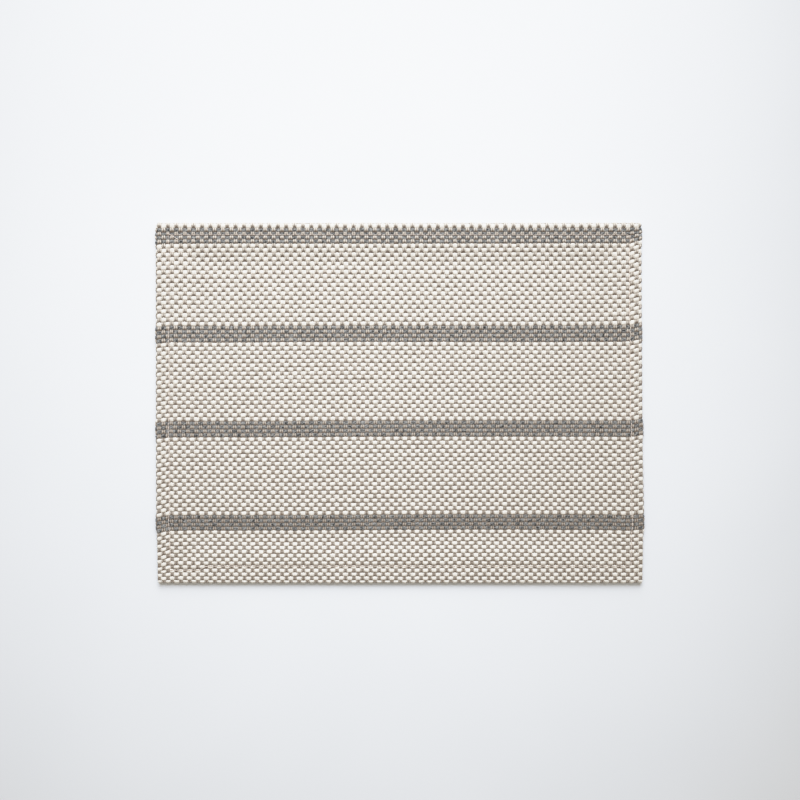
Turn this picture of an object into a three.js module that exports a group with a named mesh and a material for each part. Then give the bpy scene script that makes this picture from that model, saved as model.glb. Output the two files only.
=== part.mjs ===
// A woven fabric placemat: one flat sheet of thick cloth, with all four edges turned under once
// and sewn down. Millimetres, +Z up. The origin is at the middle of the face that it rests on, X
// runs along the width and Y along the depth.
import * as THREE from "three";

// Driving dimensions.
const WIDTH = 450;
const DEPTH = 334.5;
const CLOTH = 2.8; // thickness of one layer of the cloth
const LAYER_GAP = 0.4; // air between the cloth and its turned-under hem
const SEAM_INSET = { left: 13, right: 12, top: 12.5, bottom: 16.5 }; // the hem's stitch line, from each edge
const PAST_SEAM = 3.5; // how far the turned-under cloth runs past its stitch line
const RAMP = 24; // over which the cloth comes down from the hem's height to the table
const SEAM_DIP = 0.7; // how deep the stitches pull the top face in
const SEAM_SPREAD = 3.2; // half the width of that trough
const CORNER_LEAST = 0.5; // plan radius where a mitre turns inside the hem

// How far the side edges stand out from the plain rectangle, from the top edge to the bottom edge.
const SIDE_ROWS = [
  { down: 0.0, left: 0.2, right: -1.3 },
  { down: 0.3, left: 0.1, right: -0.8 },
  { down: 0.55, left: 0.1, right: 0.0 },
  { down: 0.8, left: -0.1, right: 1.2 },
  { down: 1.0, left: -0.9, right: 0.9 },
];

// How finely the surfaces are cut.
const CORNER_STEPS = 4;
const SIDE_STEPS = 9;
const FOLD_STEPS = 8;
const RAMP_STEPS = 8;
const SEAM_STEPS = 6;

const HEM_HEIGHT = 2 * CLOTH + LAYER_GAP;
const FOLD_RADIUS = HEM_HEIGHT / 2; // of the cloth's outer face, and so of each corner in plan

// The turned-under strip on each side, from the outer edge to its raw edge.
const flap = Object.fromEntries(
  Object.entries(SEAM_INSET).map(([side, inset]) => [side, inset + PAST_SEAM]),
);

// The value of one column of SIDE_ROWS at a share of the way down, on a smooth curve.
function sideCurve(column) {
  const points = SIDE_ROWS.map((row) => new THREE.Vector2(row.down, row[column]));
  const curve = new THREE.SplineCurve(points);
  return (down) => {
    const last = SIDE_ROWS.length - 1;
    const next = Math.min(last, Math.max(1, SIDE_ROWS.findIndex((row) => row.down >= down)));
    const before = SIDE_ROWS[next - 1];
    const along = (down - before.down) / (SIDE_ROWS[next].down - before.down);
    return curve.getPoint((next - 1 + along) / last).y;
  };
}
const leftOut = sideCurve("left");
const rightOut = sideCurve("right");

// A point of the plain rectangle, moved to the slightly uneven outline.
function uneven(x, y) {
  const down = THREE.MathUtils.clamp(0.5 - y / DEPTH, 0, 1);
  const out = x < 0 ? -leftOut(down) : rightOut(down);
  return [x + out * Math.abs(x) * (2 / WIDTH), y];
}

// One closed loop of plan points, counterclockwise. It lies `inset` mm in from the outline, and
// `share` of the turned-under strip further in, which differs from side to side.
function loopAt(inset, share) {
  const side = {
    left: -WIDTH / 2 + inset + share * flap.left,
    right: WIDTH / 2 - inset - share * flap.right,
    bottom: -DEPTH / 2 + inset + share * flap.bottom,
    top: DEPTH / 2 - inset - share * flap.top,
  };
  const radius = share > 0 ? CORNER_LEAST : Math.max(FOLD_RADIUS - inset, CORNER_LEAST);
  const corners = [
    { x: side.right - radius, y: side.bottom + radius, turn: -0.5 },
    { x: side.right - radius, y: side.top - radius, turn: 0 },
    { x: side.left + radius, y: side.top - radius, turn: 0.5 },
    { x: side.left + radius, y: side.bottom + radius, turn: 1 },
  ];
  const arcs = corners.map(({ x, y, turn }) =>
    Array.from({ length: CORNER_STEPS + 1 }, (_, i) => {
      const angle = Math.PI * (turn + (0.5 * i) / CORNER_STEPS);
      return new THREE.Vector2(x + radius * Math.cos(angle), y + radius * Math.sin(angle));
    }),
  );
  const loop = [];
  arcs.forEach((arc, k) => {
    const start = arc[CORNER_STEPS];
    const end = arcs[(k + 1) % arcs.length][0];
    loop.push(...arc);
    for (let i = 1; i < SIDE_STEPS; i++) loop.push(start.clone().lerp(end, i / SIDE_STEPS));
  });
  return loop.map((p) => uneven(p.x, p.y));
}

// The cross-section from the middle of the top face out to the edge, round the fold, in along the
// turned-under strip, back out through the gap, and in along the underside. Each row gives how far
// in its loop lies, as loopAt takes it, and its height.
function section() {
  const rows = [];
  const add = (inset, share, height) => rows.push({ inset, share, height });
  const ease = (t) => THREE.MathUtils.smootherstep(t, 0, 1);

  // The ramp's top face, from the table's level up to the hem's.
  for (let i = 0; i < RAMP_STEPS; i++) {
    const t = i / RAMP_STEPS;
    add(RAMP * (1 - t), 1, CLOTH + ease(t) * (HEM_HEIGHT - CLOTH));
  }
  // The trough that the stitches pull. Its offset from the raw edge is the same on every side.
  for (let i = 0; i <= SEAM_STEPS; i++) {
    const t = (2 * i) / SEAM_STEPS - 1;
    const dip = SEAM_DIP * (0.5 + 0.5 * Math.cos(Math.PI * t));
    add(-PAST_SEAM - t * SEAM_SPREAD, 1, HEM_HEIGHT - dip);
  }
  // Round the outside of the fold, from the top face to the face that rests on the table.
  for (let i = 0; i <= FOLD_STEPS; i++) {
    const angle = (Math.PI * i) / FOLD_STEPS;
    add(FOLD_RADIUS * (1 - Math.sin(angle)), 0, FOLD_RADIUS * (1 + Math.cos(angle)));
  }
  // The raw edge of the turned-under strip.
  add(0, 1, 0);
  add(0, 1, CLOTH);
  // Round the inside of the fold.
  for (const angle of [0, Math.PI / 2, Math.PI]) {
    const radius = LAYER_GAP / 2;
    add(FOLD_RADIUS - radius * Math.sin(angle), 0, FOLD_RADIUS - radius * Math.cos(angle));
  }
  // The underside, over the raw edge and down the ramp.
  for (let i = 0; i <= RAMP_STEPS; i++) {
    const t = i / RAMP_STEPS;
    add(RAMP * t, 1, (1 - ease(t)) * (CLOTH + LAYER_GAP));
  }
  return rows;
}

// One closed surface through the loops of every row, with a flat middle above and below.
function clothGeometry() {
  const rows = section();
  const loops = rows.map((row) => loopAt(row.inset, row.share));
  const count = loops[0].length;
  const positions = [];
  const faces = [];
  loops.forEach((loop, i) => loop.forEach(([x, y]) => positions.push(x, y, rows[i].height)));
  for (let i = 0; i + 1 < loops.length; i++) {
    for (let j = 0; j < count; j++) {
      const next = (j + 1) % count;
      const [a, b] = [i * count + j, i * count + next];
      const [c, d] = [a + count, b + count];
      faces.push(a, c, d, a, d, b);
    }
  }
  const last = (loops.length - 1) * count;
  const middle = positions.length / 3;
  positions.push(0, 0, CLOTH, 0, 0, 0);
  for (let j = 0; j < count; j++) {
    const next = (j + 1) % count;
    faces.push(middle, j, next, middle + 1, last + next, last + j);
  }
  const geometry = new THREE.BufferGeometry();
  geometry.setAttribute("position", new THREE.Float32BufferAttribute(positions, 3));
  geometry.setIndex(faces);
  geometry.computeBoundingBox();
  const centre = geometry.boundingBox.getCenter(new THREE.Vector3());
  geometry.translate(-centre.x, -centre.y, 0);
  geometry.computeVertexNormals();
  return geometry;
}

const cloth = new THREE.Mesh(
  clothGeometry(),
  new THREE.MeshStandardMaterial({ color: 0xd9d2c6, roughness: 0.95, metalness: 0 }),
);
cloth.name = "placemat_cloth";

const placemat = new THREE.Group();
placemat.add(cloth);

export default placemat;
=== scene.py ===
"""A striped table mat of thick cotton cloth, woven yarn by yarn, with its four edges turned under
and sewn down. Lengths are in metres, +Z is up, and the mat rests on the plane z = 0."""

import math

import bmesh
import bpy
import numpy as np
from bpy.props import FloatProperty, FloatVectorProperty, IntProperty, PointerProperty
from mathutils import Matrix, Vector


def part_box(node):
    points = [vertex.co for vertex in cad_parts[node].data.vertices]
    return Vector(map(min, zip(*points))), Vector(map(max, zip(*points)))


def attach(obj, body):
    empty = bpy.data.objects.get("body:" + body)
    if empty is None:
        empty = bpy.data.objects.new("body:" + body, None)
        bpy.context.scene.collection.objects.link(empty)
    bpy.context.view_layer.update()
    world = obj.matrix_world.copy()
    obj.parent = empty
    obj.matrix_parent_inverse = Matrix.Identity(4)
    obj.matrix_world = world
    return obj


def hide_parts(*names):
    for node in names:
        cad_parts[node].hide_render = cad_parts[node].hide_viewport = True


bl_info = {
    "name": "Fabric placemat",
    "version": (1, 0, 0),
    "blender": (4, 5, 0),
    "location": "View3D > Sidebar > Placemat",
    "description": "Weaves a striped table mat, turns its edges under and sews them down",
    "category": "Add Mesh",
}

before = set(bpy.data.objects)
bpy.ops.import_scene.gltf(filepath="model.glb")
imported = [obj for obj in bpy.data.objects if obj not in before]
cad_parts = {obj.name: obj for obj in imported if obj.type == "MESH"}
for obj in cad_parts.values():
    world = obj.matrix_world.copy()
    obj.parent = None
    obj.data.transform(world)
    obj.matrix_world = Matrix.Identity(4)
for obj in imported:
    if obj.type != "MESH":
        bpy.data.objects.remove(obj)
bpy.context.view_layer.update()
CLOTH = "placemat_cloth"
LOW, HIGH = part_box(CLOTH)

MM = 0.001
TABLE = "table"
TABLE_HALF = 4  # half of its width, in metres
WARP_GROUPS = ("warp_left", "warp_middle", "warp_right")
SEWING = "hem_sewing"
# The yarn materials tint by this value: darker where it is low, a painted shade, and paler where it
# is high, partly a pale rub and partly painted light.
HEIGHT = "height"  # of each point over the middle of the cloth, on whichever side of it
YARN_MAP = "yarn"  # metres along the yarn, and the yarn's number plus the share of the way round it
BAKE_MAP = "OFBake"  # the same strips, laid out side by side in one square
APART = 10.0  # between the axes of the straight yarns that a group starts from

# Where the rings of a yarn stand, in crossings from its crest: two crossings make a full wave.
WEFT_RINGS = (-0.34, 0, 0.34, 0.8, 1.2)
WARP_RINGS = (-0.55, -0.2, 0.3, 1.05)
BEND_RINGS = 5
WEFT_SIDES, WARP_SIDES, THREAD_SIDES = 6, 5, 4  # round each kind of yarn
STRETCH = 1.25  # the most that a steep slope makes a yarn thicker upwards
NUDGE = 0.05  # in crossings: either way from a point, to find how steep its yarn is
WEFT_FLATNESS = 0.7  # below 1, a weft float is flat on top

# One stitch from hole to hole: how far along each ring stands and how high, as shares.
STITCH_ALONG = np.array([-0.03, 0.1, 0.35, 0.65, 0.9, 1.03])
STITCH_ARCH = np.array([-0.55, 0.8, 1.0, 1.0, 0.8, -0.55])
LOOSE_START = np.array([[-0.6, 0.45], [0.35, -0.1], [1.3, -0.65], [2.2, -1.2]])  # in stitches

# The near seam starts one row further out, over this length from the left edge.
START_LENGTH, START_SHIFT, START_TURN = 47 * MM, 3.7 * MM, 6 * MM
STRAIGHT_BY = 22 * MM  # from the far and near edges: where the hems drag the rows in full
TUG_REACH = 5 * MM  # how far from a seam its stitches draw the yarns
MITRE_GAP = 0.4 * MM  # between a yarn's cut end and the middle of its mitre
SHADE_AND_RUB_HEIGHTS = (0.7 * MM, 1.65 * MM)  # heights at which a yarn takes its full painted shade deep down, and its full crest tint high up: partly a pale rub and partly painted light

# The weft from the far edge to the near one: each band's yarn, its rows and the room they take.
BANDS = (
    {"yarn": "cream", "rows": 1, "depth": 4.5},
    {"yarn": "grey", "rows": 4, "depth": 14.1},
    {"yarn": "cream", "rows": 19, "depth": 75.6},
    {"yarn": "grey", "rows": 4, "depth": 15.1},
    {"yarn": "cream", "rows": 19, "depth": 72.9},
    {"yarn": "grey", "rows": 4, "depth": 14.8},
    {"yarn": "cream", "rows": 19, "depth": 72.2},
    {"yarn": "grey", "rows": 4, "depth": 14.1},
    {"yarn": "cream", "rows": 14, "depth": 49.3},
)

# From the far edge to the near one: how far each side falls short of the mat's widest place, in
# millimetres, and how steeply its hem drags the rows of weft downhill towards the left.
SIDES = (
    {"down": 0.0, "left_short": 0.0, "right_short": 2.5, "left_lean": 0.06, "right_lean": 0.30},
    {"down": 0.3, "left_short": 0.1, "right_short": 2.0, "left_lean": 0.10, "right_lean": 0.22},
    {"down": 0.55, "left_short": 0.1, "right_short": 1.2, "left_lean": 0.12, "right_lean": 0.20},
    {"down": 0.8, "left_short": 0.3, "right_short": 0.0, "left_lean": 0.20, "right_lean": 0.12},
    {"down": 1.0, "left_short": 1.6, "right_short": 1.1, "left_lean": 0.27, "right_lean": 0.04},
)


# Sizes and colours


def length(name, default, description):
    return FloatProperty(
        name=name, description=description, default=default, unit="LENGTH", precision=5, min=0
    )


def share(name, default, description):
    return FloatProperty(name=name, description=description, default=default, min=0)


def colour(name, default, description):
    return FloatVectorProperty(
        name=name, description=description, default=default, subtype="COLOR", size=3, min=0, max=1
    )


class HemSizes(bpy.types.PropertyGroup):
    layer_gap: length("Layer gap", 0.4 * MM, "Air between the cloth and its turned-under edge")
    left: length("Left seam", 13 * MM, "From the left edge to its stitches")
    right: length("Right seam", 12 * MM, "From the right edge to its stitches")
    far: length("Far seam", 12.5 * MM, "From the far edge to its stitches")
    near: length("Near seam", 16.5 * MM, "From the near edge to its stitches")
    past_seam: length("Past the seam", 3.5 * MM, "How far the turned-under edge runs past its seam")
    ramp: length("Ramp", 24 * MM, "Over which the cloth comes down to the table inside the hem")
    dip: length("Dip", 1.0 * MM, "How deep the stitches pull the cloth in")
    spread: length("Spread", 2.6 * MM, "Half the width of the trough along a seam")
    pull: length("Pull", 0.25 * MM, "How far the stitches draw the yarns beside them together")
    fold_lift: share("Lift at the folds", 0.1, "What is left of the warp's lift round the folds")
    pressed: length("Pressed", 0.35 * MM, "How much of the yarns gives way to the table")
    swell: length("Swell", 0.3 * MM, "How far the sides' soft folds stand past the mat's own width")
    stripe_bulge: length("Stripe bulge", 0.7 * MM, "How much further the grey stripes push them")


class WeaveSizes(bpy.types.PropertyGroup):
    first_row: length("First row", 2.0 * MM, "From the far edge to the first row's far side")
    hem_pitch: length("Hem pitch", 3.8 * MM, "Between rows of weft in the turned-under edges")
    first_pair: length("First pair", 3.75 * MM, "From the left edge to the first pair of warp")
    pair_pitch: length("Pair pitch", 3.896 * MM, "Between pairs of warp yarns")
    weft_width: length("Weft width", 3.9 * MM, "Across a weft yarn, pressed flat")
    weft_swell: share("Weft swell", 0.06, "How much wider a weft yarn is over the warp than under it")
    weft_thick: length("Weft thickness", 1.5 * MM, "Through a weft yarn")
    weft_lift: length("Weft lift", 0.55 * MM, "How far a weft yarn rises over a pair of warp")
    warp_width: length("Warp width", 1.8 * MM, "Across one warp yarn")
    warp_fan: share("Warp fan", 0.15, "How much a pair of warp yarns spreads towards the near edge")
    warp_thick: length("Warp thickness", 1.3 * MM, "Through one warp yarn")
    warp_lift: length("Warp lift", 1.1 * MM, "How far a warp yarn rises over a weft yarn")
    warp_skew: share("Warp skew", 0.06, "How much steeper its far slopes are, in rows")
    warp_shift: share("Warp shift", 0.24, "How far its crests stand off the rows at the far edge")
    tightening: share("Tightening", 0.5, "How much less the warp rises at the near edge")
    # Raises the tint's height on the far fold, so the crests there take the pale rub and painted
    # light rather than the painted shade.
    far_fold_rub_and_light: length("Wear", 1.0 * MM, "How much deeper the crests' pale rub reaches on the far fold")
    stray: length("Stray", 1.0 * MM, "How far whole areas of the weave stray from square")
    unevenness: share("Unevenness", 1.0, "How much the yarns vary in place and girth")
    seed: IntProperty(name="Seed", description="Picks another run of unevenness", default=7)


class ThreadSizes(bpy.types.PropertyGroup):
    thick: length("Thread thickness", 0.65 * MM, "Across the sewing thread")
    stitch: length("Stitch length", 4.0 * MM, "From one needle hole to the next")
    height: length("Thread height", 1.8 * MM, "How far a stitch stands over the cloth's middle")


class Colours(bpy.types.PropertyGroup):
    cream: colour("Cream weft", (0.745, 0.71, 0.645), "The thick pale weft yarn")
    grey: colour("Grey weft", (0.102, 0.100, 0.095), "The thick weft yarn of the stripes")
    taupe: colour("Taupe warp", (0.36, 0.31, 0.26), "The thin paired warp yarns")
    thread: colour("Sewing thread", (0.80, 0.69, 0.61), "The thread of the seams")
    floor: colour("Floor", (0.708, 0.73, 0.766), "The table that the mat lies on")


class StageSizes(bpy.types.PropertyGroup):
    camera_height: length("Camera height", 0.75, "Of the camera over the mat")
    across: length("Picture width", 0.737, "How much of the table the picture is wide")
    centre_x: FloatProperty(
        name="Centre X", description="Where the camera stands", default=0.0001, unit="LENGTH"
    )
    centre_y: FloatProperty(
        name="Centre Y", description="Where the camera stands", default=0.0025, unit="LENGTH"
    )


def hem_sizes():
    return bpy.context.scene.placemat_hem


def weave_sizes():
    return bpy.context.scene.placemat_weave


def thread_sizes():
    return bpy.context.scene.placemat_thread


def colours():
    return bpy.context.scene.placemat_colours


def stage_sizes():
    return bpy.context.scene.placemat_stage


# The cloth as it lies


def smooth(t):
    """From 0 to 1 with a soft start and end."""
    t = np.clip(t, 0, 1)
    return t * t * (3 - 2 * t)


def side_column(name, v):
    """One column of SIDES at the depth v of the mat."""
    down = 0.5 - v / (HIGH.y - LOW.y)
    return np.interp(down, [row["down"] for row in SIDES], [row[name] for row in SIDES])


class LaidCloth:
    """Where each point of the flat cut cloth lies once its edges are turned under.

    u runs along the rows of weft and v towards the far edge, both from the mat's middle, and w is
    the height over the middle of the cloth's thickness.
    """

    def __init__(self):
        size = hem_sizes()
        self.size = size
        self.outer = HIGH.z / 2  # radius of the fold's outside
        self.step = (HIGH.z + size.layer_gap) / 2  # from the middle of one layer to the other's
        self.bend = self.step / 2
        self.arc = math.pi * self.bend
        self.flat_half = {
            "left": HIGH.x - self.outer + self.arc + self.flap(size.left),
            "right": HIGH.x - self.outer + self.arc + self.flap(size.right),
            "far": HIGH.y - self.outer + self.arc + self.flap(size.far),
            "near": HIGH.y - self.outer + self.arc + self.flap(size.near),
        }

    def flap(self, seam):
        """The flat part of a turned-under edge."""
        return seam + self.size.past_seam - self.outer

    def stripes(self, v):
        """1 across the grey stripes and 0 elsewhere."""
        found = np.zeros_like(v)
        top = HIGH.y - weave_sizes().first_row
        for band in BANDS:
            bottom = top - band["depth"] * MM
            if band["yarn"] == "grey":
                found += smooth((top - v) / MM + 0.5) * smooth((v - bottom) / MM + 0.5)
            top = bottom
        return found

    def edges(self, v):
        """X of the left and the right edge at the depth v."""
        bulge = self.size.swell + self.size.stripe_bulge * self.stripes(v)
        left = LOW.x + side_column("left_short", v) * MM - bulge
        right = HIGH.x - side_column("right_short", v) * MM + bulge
        return left, right

    def calm(self, v):
        """How much of its lift a warp yarn keeps: less round the folds, where it is pulled tight."""
        folded = smooth((np.abs(v) - HIGH.y + self.outer) / self.outer)
        return 1 - (1 - self.size.fold_lift) * folded

    def near_seam(self, u):
        """The near seam's distance from its edge: it starts one row further out, on the left."""
        start = LOW.x + START_LENGTH
        return self.size.near - START_SHIFT * smooth((start - u) / START_TURN)

    def from_seams(self, u, v):
        """How far inside each seam a point lies: left, right, near and far."""
        left, right = self.edges(v)
        return (
            u - left - self.size.left,
            right - self.size.right - u,
            v - LOW.y - self.near_seam(u),
            HIGH.y - self.size.far - v,
        )

    def place(self, u, v, w):
        """The points in space, as an array of rows."""
        size = self.size
        # The hems drag the rows of weft downhill towards the left.
        calm = smooth((HIGH.y - np.abs(v)) / STRAIGHT_BY)
        in_left, in_right, in_near, in_far = self.from_seams(u, v)
        lean = side_column("right_lean", v) * np.clip(-in_right, 0, size.right)
        lean -= side_column("left_lean", v) * np.clip(-in_left, 0, size.left)
        v = v + lean * calm
        # The stitches draw the yarns beside them together.
        tug = lambda d: size.pull * np.tanh(d / MM) * np.exp(-((d / TUG_REACH) ** 2))
        u = u - tug(in_left) + tug(in_right)
        v = v - tug(in_near) + tug(in_far)

        # Height of the upper layer: down to the table inside the hems, with a trough at each seam.
        in_left, in_right, in_near, in_far = self.from_seams(u, v)
        nearest = np.minimum.reduce([in_left, in_right, in_near, in_far])
        drop = self.step * smooth((nearest - size.past_seam) / size.ramp)
        trough = 0.5 + 0.5 * np.cos(np.pi * np.clip(nearest / size.spread, -1, 1))
        drop = drop + size.dip * trough

        # Round the folds, and back in underneath.
        left, right = self.edges(v)
        starts = (left + self.outer, right - self.outer, LOW.y + self.outer, HIGH.y - self.outer)
        x = np.clip(u, starts[0], starts[1])
        y = np.clip(v, starts[2], starts[3])
        past = np.hypot(u - x, v - y)
        safe = np.maximum(past, 1e-12)
        out_x, out_y = (u - x) / safe, (v - y) / safe
        turn = np.minimum(past / self.bend, np.pi)
        reach = (self.bend + w) * np.sin(turn) - np.maximum(past - self.arc, 0)
        z = self.outer + (self.bend + w) * np.cos(turn)
        z = z - drop * smooth(1 - past / self.bend)
        # What rests on the table is pressed flat.
        soft = size.pressed
        z = np.where(z < soft, soft * np.exp(z / soft - 1), z)
        return np.stack([x + out_x * reach, y + out_y * reach, z], axis=1)

    def cut_along(self, v):
        """Where a row of weft at the depth v is cut off, at the raw edge or at a mitre: the least
        and the greatest u."""
        left, right = self.edges(np.clip(v, LOW.y + self.outer, HIGH.y - self.outer))
        ends = []
        for seam, edge, way in ((self.size.left, left, -1), (self.size.right, right, 1)):
            start = edge - way * self.outer
            ends.append(start + way * self.room(v, seam, self.size.near, self.size.far, HIGH.y))
        return ends

    def cut_across(self, u):
        """Where a warp yarn at u is cut off: the least and the greatest v."""
        low = LOW.y + self.outer
        size = self.size
        args = (size.left, size.right, HIGH.x - 0.5 * MM)
        return (
            low - self.room(u, size.near, *args),
            -low + self.room(u, size.far, *args),
        )

    def room(self, across, seam, low_seam, high_seam, half):
        """How far a yarn may run past the start of its fold, when it lies at `across` and the
        turned-under edges beside it have these seams. Their mitre runs from corner to corner."""
        beside = np.abs(across) - (half - self.outer)
        flap = self.flap(seam)
        other = self.flap(np.where(across < 0, low_seam, high_seam))
        slope = flap / other
        inside = np.minimum(self.arc + flap, self.arc - beside * slope - MITRE_GAP)
        corner = np.sqrt(np.maximum(self.arc**2 - beside**2, 0))
        beyond = -(beside - self.arc) * slope - MITRE_GAP
        return np.where(beside < 0, inside, np.where(beside < self.arc, corner, beyond))


class Weave:
    """The places of the weft rows and the warp pairs on the flat cloth.

    Rows are numbered from the far edge, pairs from the left one, and both from 1 where they first
    show. Weft lies on top where the two numbers add up to an even one.
    """

    def __init__(self, cloth):
        size = weave_sizes()
        self.size, self.cloth = size, cloth
        rows, yarns, pitches = [], [], []
        v = HIGH.y - size.first_row
        for band in BANDS:
            pitch = band["depth"] * MM / band["rows"]
            for _ in range(band["rows"]):
                rows.append(v - pitch / 2)
                yarns.append(band["yarn"])
                pitches.append(pitch)
                v -= pitch
        far, near = rows[0], rows[-1]
        above = int((cloth.flat_half["far"] - far) / size.hem_pitch)
        below = int((cloth.flat_half["near"] + near) / size.hem_pitch)
        rows = [far + size.hem_pitch * (above - i) for i in range(above)] + rows
        rows += [near - size.hem_pitch * (i + 1) for i in range(below)]
        self.row_v = np.array(rows)
        self.row_yarn = np.array(["cream"] * above + yarns + ["cream"] * below)
        self.row_pitch = np.array([size.hem_pitch] * above + pitches + [size.hem_pitch] * below)
        self.row_number = np.arange(len(rows)) + 1 - above

        first = LOW.x + size.first_pair
        before = int((cloth.flat_half["left"] + first) / size.pair_pitch)
        after = int((cloth.flat_half["right"] - first) / size.pair_pitch)
        self.pair_number = np.arange(-before, after + 1)
        self.pair_u = first + self.pair_number * size.pair_pitch

        # Seeded unevenness of each crossing: weft girth, weft drift, warp girth and warp drift.
        chance = np.random.default_rng(size.seed)
        shape = (4, len(self.row_v), len(self.pair_u))
        self.chance = chance.normal(0, 1, shape).clip(-2, 2) * size.unevenness
        self.row_drift = self.wander(chance, shape[1:], 9)
        self.pair_drift = self.wander(chance, shape[1:][::-1], 9).T

    def wander(self, chance, shape, reach):
        """Slow drifts along each yarn, in yarn widths."""
        kernel = np.hanning(reach + 2)
        noise = chance.normal(0, 1, shape)
        return np.array([np.convolve(n, kernel / kernel.sum(), "same") for n in noise])

    def strayed(self, u, v):
        """Where a point of a perfectly square weave really is."""
        across = np.sin(u / 0.071 + 1.3) * np.cos(v / 0.102) + 0.6 * np.sin(v / 0.047 + u / 0.19)
        along = np.sin(u / 0.112) * 0.6 + np.sin(u / 0.053 + v / 0.08 + 2) * 0.4
        room_u = smooth((HIGH.x - np.abs(u)) / (40 * MM))
        room_v = smooth((HIGH.y - np.abs(v)) / (40 * MM))
        return u + self.size.stray * across * room_u, v + 0.5 * self.size.stray * along * room_v

    def look_up(self, grid, row, pair):
        """Values of a grid of crossings at whole or fractional row and pair places."""
        row = np.clip(row, 0, grid.shape[0] - 1)
        pair = np.clip(pair, 0, grid.shape[1] - 1)
        r0, p0 = np.floor(row).astype(int), np.floor(pair).astype(int)
        r1 = np.minimum(r0 + 1, grid.shape[0] - 1)
        p1 = np.minimum(p0 + 1, grid.shape[1] - 1)
        fr, fp = row - r0, pair - p0
        low = grid[r0, p0] * (1 - fp) + grid[r0, p1] * fp
        high = grid[r1, p0] * (1 - fp) + grid[r1, p1] * fp
        return low * (1 - fr) + high * fr

    def wave(self, phase, flatness):
        """1 over the middle of a float and -1 over the next one's, flat on top and steep between."""
        c = np.cos(np.pi * phase)
        return np.sign(c) * np.abs(c) ** flatness


# Yarns as meshes


def link(obj):
    bpy.context.scene.collection.objects.link(obj)
    return obj


def evaluated(obj):
    """A mesh of the object with its modifiers applied."""
    bpy.context.view_layer.update()
    depsgraph = bpy.context.evaluated_depsgraph_get()
    return bpy.data.meshes.new_from_object(obj.evaluated_get(depsgraph))


def straight_yarns(name, yarns, rings, sides, first_angle=0.0):
    """Straight tubes of unit radius with closed ends, side by side. Ring r lies at x = r, and the
    axis of yarn n at y = n * APART."""
    bm = bmesh.new()
    upright = Matrix.Rotation(math.pi / 2, 4, "Y") @ Matrix.Rotation(first_angle, 4, "Z")
    bmesh.ops.create_circle(bm, cap_ends=True, segments=sides, radius=1, matrix=upright)
    spun = bmesh.ops.spin(
        bm,
        geom=bm.edges[:],
        cent=(0, 0, 0),
        axis=(1, 0, 0),
        dvec=(1, 0, 0),
        angle=0,
        steps=rings - 1,
    )
    last = [e for e in spun["geom_last"] if isinstance(e, bmesh.types.BMEdge)]
    bmesh.ops.contextual_create(bm, geom=last)
    bmesh.ops.recalc_face_normals(bm, faces=bm.faces[:])
    mesh = bpy.data.meshes.new(name)
    bm.to_mesh(mesh)
    bm.free()
    obj = link(bpy.data.objects.new(name, mesh))
    array = obj.modifiers.new("Yarns", "ARRAY")
    array.count = yarns
    array.use_relative_offset = False
    array.use_constant_offset = True
    array.constant_offset_displace = (0, APART, 0)
    obj.data = evaluated(obj)
    obj.modifiers.clear()
    bpy.data.meshes.remove(mesh)
    obj.data.name = name
    return obj


def read_points(mesh):
    found = np.empty(len(mesh.vertices) * 3)
    mesh.vertices.foreach_get("co", found)
    return found.reshape(-1, 3)


def add_yarn_maps(mesh, along, number, around, yarns):
    """The yarn's own map in real lengths, and the same strips side by side for a bake. The corners
    of the last face round each yarn read a full turn where the first ones read none."""
    corner = np.empty(len(mesh.loops), int)
    mesh.loops.foreach_get("vertex_index", corner)
    first = np.empty(len(mesh.polygons), int)
    mesh.polygons.foreach_get("loop_start", first)
    sizes = np.diff(np.append(first, len(corner)))
    round_ = around[corner]
    most = np.repeat(np.maximum.reduceat(round_, first), sizes)
    round_ = np.where(most - round_ > 0.5, round_ + 1, round_)
    strip = number[corner] + round_
    low, high = along.min(), along.max()
    for name, across, up in (
        (YARN_MAP, along[corner], strip),
        (BAKE_MAP, (along[corner] - low) / (high - low), strip / yarns),
    ):
        layer = mesh.uv_layers.new(name=name)
        layer.uv.foreach_set("vector", np.stack([across, up], axis=1).astype(np.float32).ravel())


def lay_yarns(obj, path, yarns, merge=0.004 * MM):
    """Moves straight yarns onto the cloth. path gives each point's place in space, its length along
    the yarn and its height, from its yarn, its ring and its offset from the axis."""
    mesh = obj.data
    straight = read_points(mesh)
    number = np.rint(straight[:, 1] / APART).astype(int)
    ring = np.rint(straight[:, 0]).astype(int)
    side, rise = straight[:, 1] - number * APART, straight[:, 2]
    points, along, height = path(number, ring, side, rise)
    around = np.arctan2(rise, side) / (2 * np.pi) % 1.0
    around = np.where(around > 0.999, 0.0, around)
    add_yarn_maps(mesh, along, number, around, yarns)
    mesh.vertices.foreach_set("co", points.ravel())
    heights = mesh.attributes.new(HEIGHT, "FLOAT", "POINT")
    heights.data.foreach_set("value", np.abs(height).astype(np.float32))
    mesh.update()
    bm = bmesh.new()
    bm.from_mesh(mesh)
    bmesh.ops.remove_doubles(bm, verts=bm.verts[:], dist=merge)
    bm.to_mesh(mesh)
    bm.free()
    mesh.shade_smooth()
    return obj


def stations(count, crest_first, offsets, bends):
    """Ring places along yarns that cross `count` others, whose crests are at the even places or,
    where `crest_first` is 1, at the odd ones. Each crest has rings at the same offsets from it, and
    each of the bends, given as spans, has its own."""
    crests = np.arange(-2, count + 2, 2) + crest_first
    found = [(crests[:, None] + np.array(offsets)).ravel()]
    found += [np.linspace(low, high, BEND_RINGS) for low, high in bends]
    return np.sort(np.concatenate(found))


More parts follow.
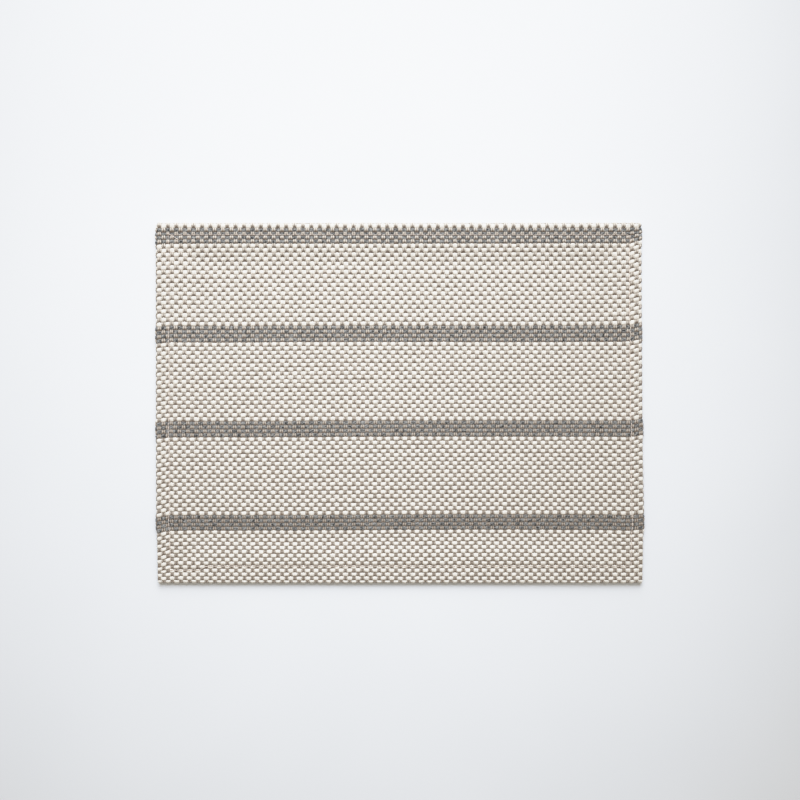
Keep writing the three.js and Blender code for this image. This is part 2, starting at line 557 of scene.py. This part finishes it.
def weft_group(cloth, weave, name, chosen):
    """The weft rows whose indices are chosen, as one mesh."""
    size = weave.size
    pairs = weave.pair_number
    to_pair = lambda u: (u - weave.pair_u[0]) / size.pair_pitch
    bends = [
        (to_pair(LOW.x + cloth.outer - cloth.arc), to_pair(LOW.x + cloth.outer)),
        (to_pair(HIGH.x - cloth.outer), to_pair(HIGH.x - cloth.outer + cloth.arc)),
    ]
    places = np.array([stations(len(pairs), odd, WEFT_RINGS, bends) for odd in (0, 1)])
    obj = straight_yarns(name, len(chosen), places.shape[1], WEFT_SIDES)
    rows = np.array(chosen)
    least, most = cloth.cut_along(weave.row_v[rows])

    def path(number, ring, side, rise):
        row = rows[number]
        odd = (weave.row_number[row] + pairs[0]) % 2
        pair = np.clip(places[odd, ring], to_pair(least[number]), to_pair(most[number]))
        u = weave.pair_u[0] + pair * size.pair_pitch
        phase = pair + pairs[0] + weave.row_number[row]
        bent = lambda p: weave.wave(p, WEFT_FLATNESS)
        wave = bent(phase)
        ahead = bent(phase + NUDGE) - bent(phase - NUDGE)
        steep = np.hypot(1, size.weft_lift * ahead / (2 * NUDGE * size.pair_pitch)).clip(1, STRETCH)
        pitch = weave.row_pitch[row] / size.hem_pitch
        girth = 1 + 0.05 * weave.look_up(weave.chance[0], row, pair)
        drift = 0.12 * weave.look_up(weave.chance[1], row, pair)
        drift = (drift + 0.3 * weave.look_up(weave.row_drift, row, pair)) * MM
        half = size.weft_width / 2 * pitch * girth * (1 + size.weft_swell * wave)
        lift = size.weft_lift * (2 - cloth.calm(weave.row_v[row]))
        v = weave.row_v[row] + drift + side * half
        w = lift * wave + rise * size.weft_thick / 2 * steep * (2 - girth)
        u, v = weave.strayed(u, v)
        return cloth.place(u, v, w), u, w

    return lay_yarns(obj, path, len(chosen))


def warp_group(cloth, weave, name, chosen):
    """The warp yarns, two to each pair whose index is chosen, as one mesh."""
    size = weave.size
    rows = weave.row_number
    to_row = lambda v: np.interp(-v, -weave.row_v, np.arange(len(rows)))
    bends = [
        (to_row(HIGH.y - cloth.outer + cloth.arc), to_row(HIGH.y - cloth.outer)),
        (to_row(LOW.y + cloth.outer), to_row(LOW.y + cloth.outer - cloth.arc)),
    ]
    places = np.array([stations(len(rows), odd, WARP_RINGS, bends) for odd in (0, 1)])
    obj = straight_yarns(name, 2 * len(chosen), places.shape[1], WARP_SIDES, math.pi / 2)
    pairs = np.repeat(chosen, 2)
    half_of_pair = np.tile([-1, 1], len(chosen))
    least, most = cloth.cut_across(weave.pair_u[pairs] + half_of_pair * size.warp_width / 2)

    def path(number, ring, side, rise):
        pair = pairs[number]
        odd = (weave.pair_number[pair] + rows[0] + 1) % 2
        row = np.clip(places[odd, ring], to_row(most[number]), to_row(least[number]))
        v = np.interp(row, np.arange(len(rows)), weave.row_v)
        slack = np.clip(0.5 + v / (HIGH.y - LOW.y), 0, 1)
        phase = row + rows[0] + weave.pair_number[pair] + size.warp_shift * (0.25 + 0.75 * slack)
        level = size.warp_lift * (1 - size.tightening * (1 - slack))
        lift = level * cloth.calm(v)
        skewed = lambda p: -weave.wave(p - size.warp_skew * np.cos(np.pi * p), 1)
        wave = skewed(phase)
        ahead = skewed(phase + NUDGE) - skewed(phase - NUDGE)
        steep = np.hypot(1, lift * ahead / (2 * NUDGE * size.hem_pitch)).clip(1, STRETCH)
        girth = 1 + 0.05 * weave.look_up(weave.chance[2], row, pair + 0.3 * half_of_pair[number])
        drift = 0.06 * weave.look_up(weave.chance[3], row, pair + 0.3 * half_of_pair[number])
        drift = (drift + 0.2 * weave.look_up(weave.pair_drift, row, pair)) * MM
        half = size.warp_width / 2 * (1 - size.warp_fan * np.sin(np.pi * phase))
        u = weave.pair_u[pair] + drift + half * (half_of_pair[number] + side * girth)
        thick = rise * size.warp_thick / 2 * steep * (2 - girth)
        u, v = weave.strayed(u, v)
        # The tint's height: lower warps, as near the near edge, take more painted shade. The far fold
        # is raised so that its crests take the pale rub and painted light.
        fold_rub_and_light_raise = size.far_fold_rub_and_light * (1 - cloth.calm(np.maximum(v, 0)))
        return cloth.place(u, v, lift * wave + thick), -v, np.abs(level * wave + thick) + fold_rub_and_light_raise

    return lay_yarns(obj, path, 2 * len(chosen))


def seam_holes(cloth):
    """The needle holes of the four seams, as runs of points on the flat cloth, and the same holes
    where they come out underneath, on the turned-under edges."""
    size = cloth.size
    step = thread_sizes().stitch
    ends = LOW.y + size.near, HIGH.y - size.far
    runs = []
    v = np.linspace(*ends, round((ends[1] - ends[0]) / step) + 1)
    for seam, edge, way in zip((size.left, size.right), cloth.edges(v), (-1, 1)):
        fold = edge - way * cloth.outer
        u = edge - way * seam
        runs += [np.stack([u, v], axis=1), np.stack([2 * fold + way * cloth.arc - u, v], axis=1)]
    starts = LOW.x + size.left, HIGH.x - size.right - side_column("right_short", HIGH.y) * MM
    u = np.linspace(*starts, round((starts[1] - starts[0]) / step) + 1)
    for v, way in ((LOW.y + cloth.near_seam(u), -1), (np.full_like(u, ends[1]), 1)):
        fold = way * (HIGH.y - cloth.outer)
        runs += [np.stack([u, v], axis=1), np.stack([u, 2 * fold + way * cloth.arc - v], axis=1)]
    return runs


def stitch_group(cloth, name, runs):
    """Sewing thread: one short tube for each stitch from hole to hole of each run."""
    size = thread_sizes()
    start = np.concatenate([run[:-1] for run in runs])
    end = np.concatenate([run[1:] for run in runs])
    obj = straight_yarns(name, len(start), len(STITCH_ARCH), THREAD_SIDES, math.pi / 4)

    def path(number, ring, side, rise):
        t = STITCH_ALONG[ring][:, None]
        run = end[number] - start[number]
        across = np.stack([-run[:, 1], run[:, 0]], axis=1)
        across /= np.linalg.norm(across, axis=1)[:, None]
        here = start[number] + run * t + across * (side * size.thick / 2)[:, None]
        w = size.height * STITCH_ARCH[ring] + rise * size.thick / 2
        along = np.linalg.norm(run, axis=1) * t[:, 0]
        return cloth.place(here[:, 0], here[:, 1], w), along, w

    return lay_yarns(obj, path, len(start))


# Finishes


class Nodes:
    """Short words for building a node tree."""

    def __init__(self, tree):
        self.tree = tree

    def add(self, kind, inputs=(), **settings):
        node = self.tree.nodes.new(kind)
        for key, value in settings.items():
            setattr(node, key, value)
        for key, value in dict(inputs).items():
            if isinstance(value, bpy.types.NodeSocket):
                self.tree.links.new(value, node.inputs[key])
            else:
                node.inputs[key].default_value = value
        return node

    def maths(self, operation, a, b=0.0, c=0.0):
        inputs = {0: a, 1: b, 2: c}
        return self.add("ShaderNodeMath", inputs, operation=operation).outputs[0]

    def mix(self, factor, a, b, blend="MIX"):
        inputs = {"Factor": factor, "A": a, "B": b}
        node = self.tree.nodes.new("ShaderNodeMix")
        node.data_type, node.blend_type = "RGBA", blend
        for key, value in inputs.items():
            socket = next(s for s in node.inputs if s.name == key and s.enabled)
            if isinstance(value, bpy.types.NodeSocket):
                self.tree.links.new(value, socket)
            else:
                socket.default_value = value
        return next(s for s in node.outputs if s.enabled)

    def between(self, value, low, high, to_low=0.0, to_high=1.0):
        inputs = {"Value": value, "From Min": low, "From Max": high}
        inputs |= {"To Min": to_low, "To Max": to_high}
        return self.add("ShaderNodeMapRange", inputs, clamp=True).outputs[0]


def spun_fibres():
    """A node group with the fibres of a spun yarn. Strands gives the fibres that wind along it,
    Plies the grooves between its plies, and Slub its slow changes of shade."""
    name = "Spun fibres"
    if name in bpy.data.node_groups:
        return bpy.data.node_groups[name]
    tree = bpy.data.node_groups.new(name, "ShaderNodeTree")
    for label, default in (
        ("Radius", 1.0),
        ("Turns per mm", 0.1),
        ("Plies", 2.0),
        ("Fibre length", 0.3),
    ):
        tree.interface.new_socket(
            name=label, in_out="INPUT", socket_type="NodeSocketFloat"
        ).default_value = default
    for label in ("Strands", "Plies", "Slub"):
        tree.interface.new_socket(name=label, in_out="OUTPUT", socket_type="NodeSocketFloat")
    n = Nodes(tree)
    given = n.add("NodeGroupInput").outputs
    given = {socket.name: socket for socket in given if socket.name}
    place = n.add("ShaderNodeUVMap", uv_map=YARN_MAP).outputs[0]
    place = n.add("ShaderNodeSeparateXYZ", {0: place}).outputs
    along = n.maths("MULTIPLY", place[0], 1000.0)
    yarn = n.maths("FLOOR", place[1])
    turned = n.maths("ADD", place[1], n.maths("MULTIPLY", along, given["Turns per mm"]))
    angle = n.maths("MULTIPLY", turned, 2 * math.pi)
    east = n.maths("MULTIPLY", n.maths("COSINE", angle), given["Radius"])
    north = n.maths("MULTIPLY", n.maths("SINE", angle), given["Radius"])
    lengthwise = n.maths("ADD", along, n.maths("MULTIPLY", yarn, 37.3))
    drawn = n.maths("MULTIPLY", lengthwise, given["Fibre length"])
    spot = n.add("ShaderNodeCombineXYZ", {0: east, 1: north, 2: drawn}).outputs[0]
    strands = n.add("ShaderNodeTexNoise", {"Vector": spot, "Scale": 3.2, "Detail": 3.0}).outputs[0]
    groove = n.maths("COSINE", n.maths("MULTIPLY", angle, given["Plies"]))
    groove = n.between(groove, -1.0, 1.0)
    low = n.add("ShaderNodeCombineXYZ", {0: n.maths("MULTIPLY", lengthwise, 0.35)}).outputs[0]
    slub = n.add("ShaderNodeTexNoise", {"Vector": low, "Scale": 1.0, "Detail": 1.0}).outputs[0]
    n.add("NodeGroupOutput", {"Strands": strands, "Plies": groove, "Slub": slub})
    return tree


def yarn_material(name, base, spin, shades, plies, relief, sheen, painted_hollow_shade, crest):
    """Spun yarn. `spin` holds the radius, turns, plies and fibre length for its node group, and
    `shades` the darkest and lightest fibres, as shares of the base colour. `plies` says how much its
    plies show, by darkening the grooves between them, a painted shade. `painted_hollow_shade` darkens
    the yarn where it lies deep, a painted shade, and `crest` lightens it where it stands high, partly
    a pale rub and partly painted light."""
    material = bpy.data.materials.new(name)
    material.use_nodes = True
    material.node_tree.nodes.clear()
    n = Nodes(material.node_tree)
    fibres = n.tree.nodes.new("ShaderNodeGroup")
    fibres.node_tree = spun_fibres()
    for socket, value in zip(fibres.inputs, spin):
        socket.default_value = value
    strands, groove, slub = (fibres.outputs[k] for k in ("Strands", "Plies", "Slub"))
    tone = n.maths("MULTIPLY_ADD", slub, 0.3, n.maths("MULTIPLY", strands, 0.7))
    # The grooves between the plies come out darker: a painted shade.
    tone = n.maths("MULTIPLY_ADD", n.maths("SUBTRACT", groove, 0.5), plies, tone)
    dark = (*(c * shades[0] for c in base), 1)
    light = (*(min(1, c * shades[1]) for c in base), 1)
    hue = n.mix(n.between(tone, 0.40, 0.60), dark, light)
    # Painted shade where the yarn lies deep, and a paler crest tint where it stands high, partly a
    # pale rub and partly painted light.
    height = n.add("ShaderNodeAttribute", attribute_name=HEIGHT).outputs["Fac"]
    tint = n.mix(n.between(height, *SHADE_AND_RUB_HEIGHTS), (*painted_hollow_shade, 1), (*crest, 1))
    hue = n.mix(1, hue, tint, "MULTIPLY")
    height = n.maths("MULTIPLY_ADD", groove, 0.6, strands)
    bump = n.add("ShaderNodeBump", {"Height": height, "Distance": relief}).outputs[0]
    inputs = {"Base Color": hue, "Roughness": 0.92, "Normal": bump}
    inputs |= {"Sheen Weight": sheen, "Sheen Roughness": 0.5, "Specular IOR Level": 0.2}
    shader = n.add("ShaderNodeBsdfPrincipled", inputs)
    n.add("ShaderNodeOutputMaterial", {"Surface": shader.outputs[0]})
    return material


def table_material(base):
    """A smooth matt board, a little uneven in shade and grain."""
    material = bpy.data.materials.new("Table")
    material.use_nodes = True
    material.node_tree.nodes.clear()
    n = Nodes(material.node_tree)
    place = n.add("ShaderNodeTexCoord").outputs["Object"]
    broad = n.add("ShaderNodeTexNoise", {"Vector": place, "Scale": 5.0, "Detail": 2.0}).outputs[0]
    fine = n.add("ShaderNodeTexNoise", {"Vector": place, "Scale": 400.0, "Detail": 2.0}).outputs[0]
    dark = (*(c * 0.985 for c in base), 1)
    light = (*(c * 1.015 for c in base), 1)
    hue = n.mix(n.between(broad, 0.3, 0.7), dark, light)
    rough = n.between(fine, 0.3, 0.7, 0.62, 0.78)
    bump = n.add("ShaderNodeBump", {"Height": fine, "Distance": 0.02 * MM}).outputs[0]
    inputs = {"Base Color": hue, "Roughness": rough, "Normal": bump}
    shader = n.add("ShaderNodeBsdfPrincipled", inputs)
    n.add("ShaderNodeOutputMaterial", {"Surface": shader.outputs[0]})
    return material


def finish_piece(obj, material):
    obj.data.materials.clear()
    obj.data.materials.append(material)
    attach(obj, "root")
    return obj


def declare_sheet(cloth, weave, rows):
    """Finds where these rows of weft are cut off, and does nothing more with it. The warp and the
    sewing run through them all."""
    least, most = cloth.cut_along(weave.row_v[rows])


# Operators


class PLACEMAT_OT_cream_weft(bpy.types.Operator):
    """Weave in the cream weft, in a far and a near half"""

    bl_idname = "placemat.cream_weft"
    bl_label = "Cream weft"

    def execute(self, context):
        cloth = LaidCloth()
        weave = Weave(cloth)
        cream = np.flatnonzero(weave.row_yarn == "cream")
        half = len(cream) // 2
        material = yarn_material(
            "Cream yarn",
            colours().cream,
            spin=(1.1, 0.05, 2.0, 0.18),
            shades=(0.80, 1.10),
            plies=0.1,
            relief=0.2 * MM,
            sheen=0.3,
            # Only a faint painted shade deep in the weave; the crests keep the base colour.
            painted_hollow_shade=(0.93, 0.92, 0.91),
            crest=(1.0, 1.0, 1.0),
        )
        for name, rows in (("cream_weft_far", cream[:half]), ("cream_weft_near", cream[half:])):
            obj = weft_group(cloth, weave, name, rows)
            finish_piece(obj, material)
            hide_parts(CLOTH)
            declare_sheet(cloth, weave, rows)
        return {"FINISHED"}


class PLACEMAT_OT_grey_weft(bpy.types.Operator):
    """Weave in the four grey stripes"""

    bl_idname = "placemat.grey_weft"
    bl_label = "Grey weft"

    def execute(self, context):
        cloth = LaidCloth()
        weave = Weave(cloth)
        material = yarn_material(
            "Grey yarn",
            colours().grey,
            spin=(0.62, 0.03, 2.0, 0.16),
            shades=(0.1, 2.7),
            plies=0.0,
            relief=0.3 * MM,
            sheen=0.4,
            painted_hollow_shade=(1.0, 1.0, 1.0),
            crest=(1.0, 1.0, 1.0),
        )
        grey = np.flatnonzero(weave.row_yarn == "grey")
        obj = weft_group(cloth, weave, "grey_weft", grey)
        finish_piece(obj, material)
        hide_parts(CLOTH)
        declare_sheet(cloth, weave, grey)
        return {"FINISHED"}


class PLACEMAT_OT_warp(bpy.types.Operator):
    """Add the taupe warp, two yarns to a pair, in three groups from left to right"""

    bl_idname = "placemat.warp"
    bl_label = "Taupe warp"

    def execute(self, context):
        cloth = LaidCloth()
        weave = Weave(cloth)
        material = yarn_material(
            "Taupe yarn",
            colours().taupe,
            spin=(0.6, 0.22, 2.0, 0.3),
            shades=(0.84, 1.16),
            plies=0.12,
            relief=0.08 * MM,
            sheen=0.2,
            # Darker deep in the weave, a painted shade, and much paler on the crests, partly a pale
            # rub and partly painted light.
            painted_hollow_shade=(0.50, 0.43, 0.37),
            crest=(1.79, 1.89, 1.98),
        )
        groups = np.array_split(np.arange(len(weave.pair_u)), len(WARP_GROUPS))
        for name, pairs in zip(WARP_GROUPS, groups):
            obj = warp_group(cloth, weave, name, pairs)
            finish_piece(obj, material)
            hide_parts(CLOTH)
        return {"FINISHED"}


class PLACEMAT_OT_sewing(bpy.types.Operator):
    """Sew the four seams down, with the loose start of the thread in the far left corner"""

    bl_idname = "placemat.sewing"
    bl_label = "Sewing"

    def execute(self, context):
        cloth = LaidCloth()
        runs = seam_holes(cloth)
        corner = np.array([LOW.x + cloth.size.left, HIGH.y - cloth.size.far])
        runs.append(corner + thread_sizes().stitch * LOOSE_START)
        obj = stitch_group(cloth, SEWING, runs)
        material = yarn_material(
            "Sewing thread",
            colours().thread,
            spin=(0.2, 0.6, 3.0, 0.5),
            shades=(0.85, 1.15),
            plies=0.3,
            relief=0.05 * MM,
            sheen=0.3,
            painted_hollow_shade=(1.0, 1.0, 1.0),
            crest=(1.0, 1.0, 1.0),
        )
        finish_piece(obj, material)
        return {"FINISHED"}


class PLACEMAT_OT_stage(bpy.types.Operator):
    """Set up the table, the lights and the camera"""

    bl_idname = "placemat.stage"
    bl_label = "Stage"

    def execute(self, context):
        size = stage_sizes()
        bm = bmesh.new()
        bmesh.ops.create_grid(bm, x_segments=1, y_segments=1, size=TABLE_HALF)
        mesh = bpy.data.meshes.new(TABLE)
        bm.to_mesh(mesh)
        bm.free()
        floor = link(bpy.data.objects.new(TABLE, mesh))
        floor.data.materials.append(table_material(colours().floor))

        self.lamp(
            "key",
            place=(-0.03, 0.66, 0.585),
            target=(-0.05, 0.04, 0),
            size=(0.9, 0.9),
            power=4.45,
            spread=1.28,
            tint=(0.93, 1.0, 1.11),
        )
        world = bpy.data.worlds.new("Room")
        world.use_nodes = True
        glow = world.node_tree.nodes["Background"].inputs
        glow["Color"].default_value = (1.09, 1.0, 0.85, 1)
        glow["Strength"].default_value = 0.49
        context.scene.world = world
        self.shoulder(context.scene.view_settings)

        data = bpy.data.cameras.new("camera")
        camera = link(bpy.data.objects.new("camera", data))
        camera.location = (size.centre_x, size.centre_y, HIGH.z + size.camera_height)
        data.angle = 2 * math.atan(size.across / 2 / size.camera_height)
        context.scene.camera = camera
        return {"FINISHED"}

    def lamp(self, name, place, target, size, power, spread, tint):
        data = bpy.data.lights.new(name, "AREA")
        data.shape = "RECTANGLE"
        data.size, data.size_y = size
        data.energy, data.spread, data.color = power, spread, tint
        obj = link(bpy.data.objects.new(name, data))
        obj.location = place
        obj.rotation_euler = (Vector(target) - Vector(place)).to_track_quat("-Z", "Y").to_euler()

    def shoulder(self, view):
        """A soft shoulder, as a camera gives its whites."""
        knee, white, brightest = 0.70, 0.985, 2.5
        view.view_transform = "Standard"
        view.use_curve_mapping = True
        mapping = view.curve_mapping
        mapping.white_level = [brightest] * 3
        mapping.clip_max_y = 1
        curve = mapping.curves[3]
        room = white - knee
        for light in (0.35, 0.6, 0.7, 0.8, 0.9, 1.0, 1.2, 1.4, 1.7, 2.0):
            over = max(light - knee, 0)
            shown = min(light, knee) + room * (1 - math.exp(-over / room))
            curve.points.new(light / brightest, shown)
        curve.points[-1].location = (1, white)
        mapping.update()


class PLACEMAT_PT_panel(bpy.types.Panel):
    bl_label = "Placemat"
    bl_space_type = "VIEW_3D"
    bl_region_type = "UI"
    bl_category = "Placemat"

    def draw(self, context):
        for operator in OPERATORS:
            self.layout.operator(operator.bl_idname)


SETTINGS = {
    "placemat_hem": HemSizes,
    "placemat_weave": WeaveSizes,
    "placemat_thread": ThreadSizes,
    "placemat_colours": Colours,
    "placemat_stage": StageSizes,
}
OPERATORS = (
    PLACEMAT_OT_warp,
    PLACEMAT_OT_sewing,
    PLACEMAT_OT_cream_weft,
    PLACEMAT_OT_grey_weft,
    PLACEMAT_OT_stage,
)


def register():
    for cls in (*SETTINGS.values(), *OPERATORS, PLACEMAT_PT_panel):
        bpy.utils.register_class(cls)
    for name, cls in SETTINGS.items():
        setattr(bpy.types.Scene, name, PointerProperty(type=cls))


def unregister():
    for name in SETTINGS:
        delattr(bpy.types.Scene, name)
    for cls in (PLACEMAT_PT_panel, *reversed(OPERATORS), *SETTINGS.values()):
        bpy.utils.unregister_class(cls)


def main():
    register()
    bpy.ops.placemat.warp()
    bpy.ops.placemat.sewing()
    bpy.ops.placemat.cream_weft()
    bpy.ops.placemat.grey_weft()
    bpy.ops.placemat.stage()


if __name__ == "__main__":
    main()
